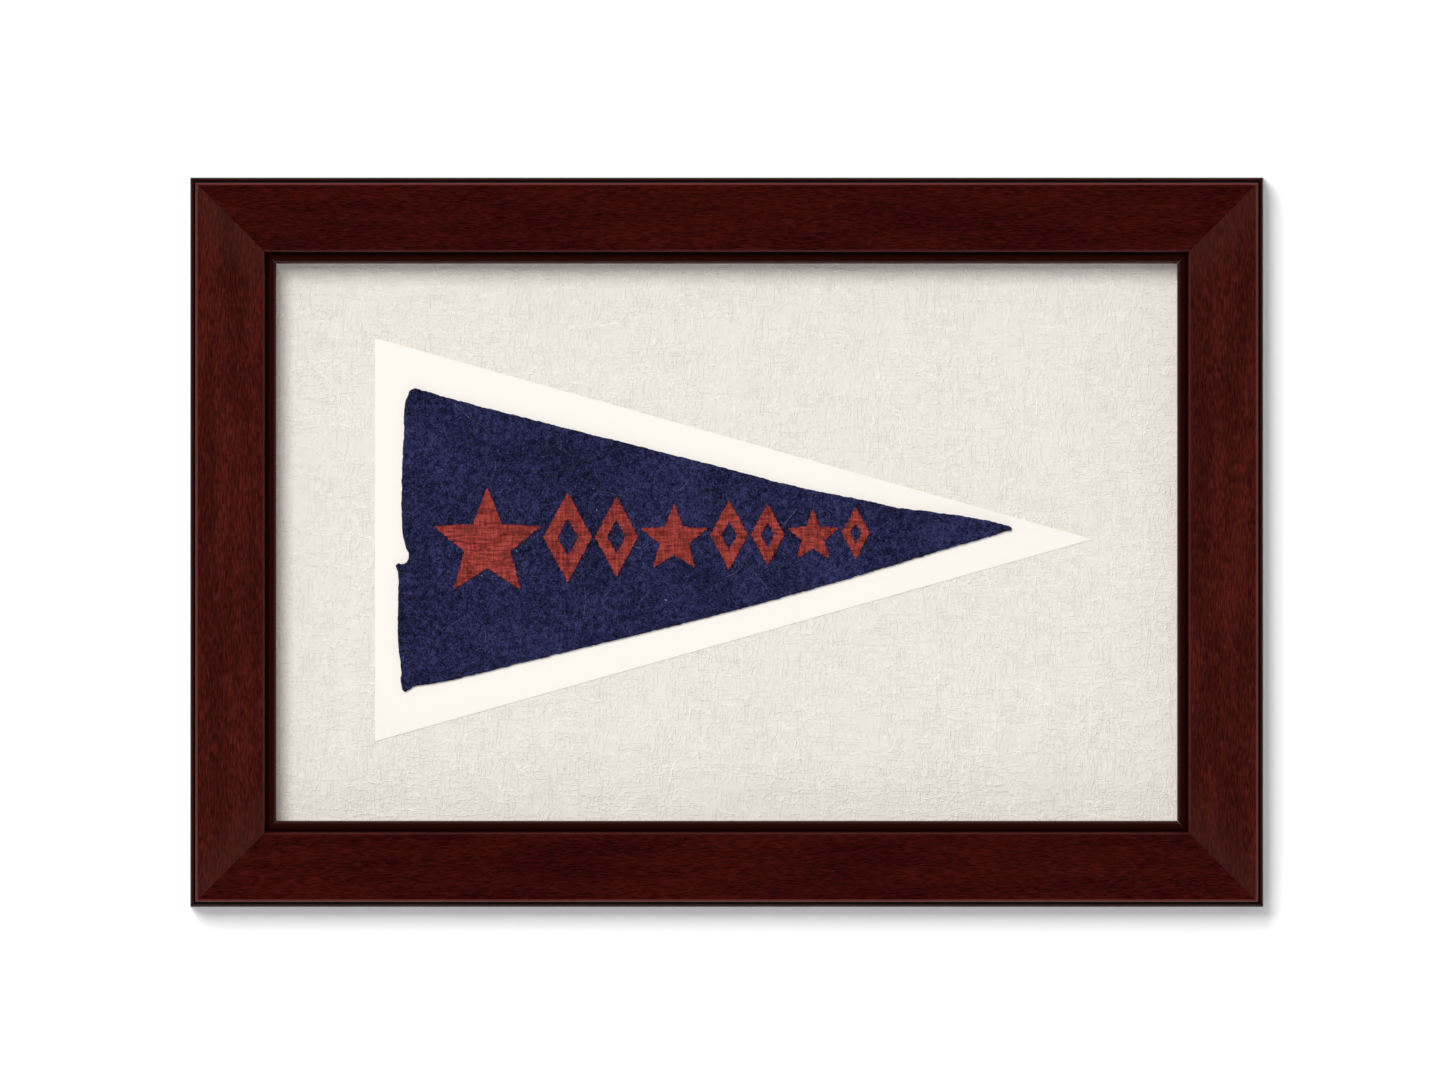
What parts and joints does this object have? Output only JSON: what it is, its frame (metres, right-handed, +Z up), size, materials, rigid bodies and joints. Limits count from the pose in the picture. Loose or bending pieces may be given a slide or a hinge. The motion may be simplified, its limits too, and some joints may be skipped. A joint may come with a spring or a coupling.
{
  "type": "pennant flag in picture frame",
  "caption": "Tapering navy felt pennant with red woven cloth motifs, on a cream triangular card and linen-covered board in a dark wooden picture frame.",
  "frame": {"origin": "centre of the flat back, in the plane that bears on the wall", "axes": "+X along the pennant from its hoist to its tip, +Z up, and the picture faces -Y, so +Y points into the wall"},
  "size_m": [0.5364, 0.028, 0.3646],
  "materials": {
    "mahogany": "satin lacquered dark red-brown wood",
    "backing_board": "plain matt brown fibreboard",
    "linen": "matt off-white plain-woven linen",
    "cream_card": "smooth matt cream",
    "navy_felt": "matt mottled wool felt",
    "red_cloth": "matt plain-woven cotton"
  },
  "bodies": {
    "root": {"rail_bottom": "mahogany", "rail_left": "mahogany", "rail_top": "mahogany", "rail_right": "mahogany", "backing_board": "backing_board", "linen_cover": "linen", "mount_card": "cream_card", "pennant": "navy_felt", "motif_1_star": "red_cloth", "motif_2_lozenge": "red_cloth", "motif_3_lozenge": "red_cloth", "motif_4_star": "red_cloth", "motif_5_lozenge": "red_cloth", "motif_6_lozenge": "red_cloth", "motif_7_star": "red_cloth", "motif_8_lozenge": "red_cloth"}
  },
  "joints": []
}
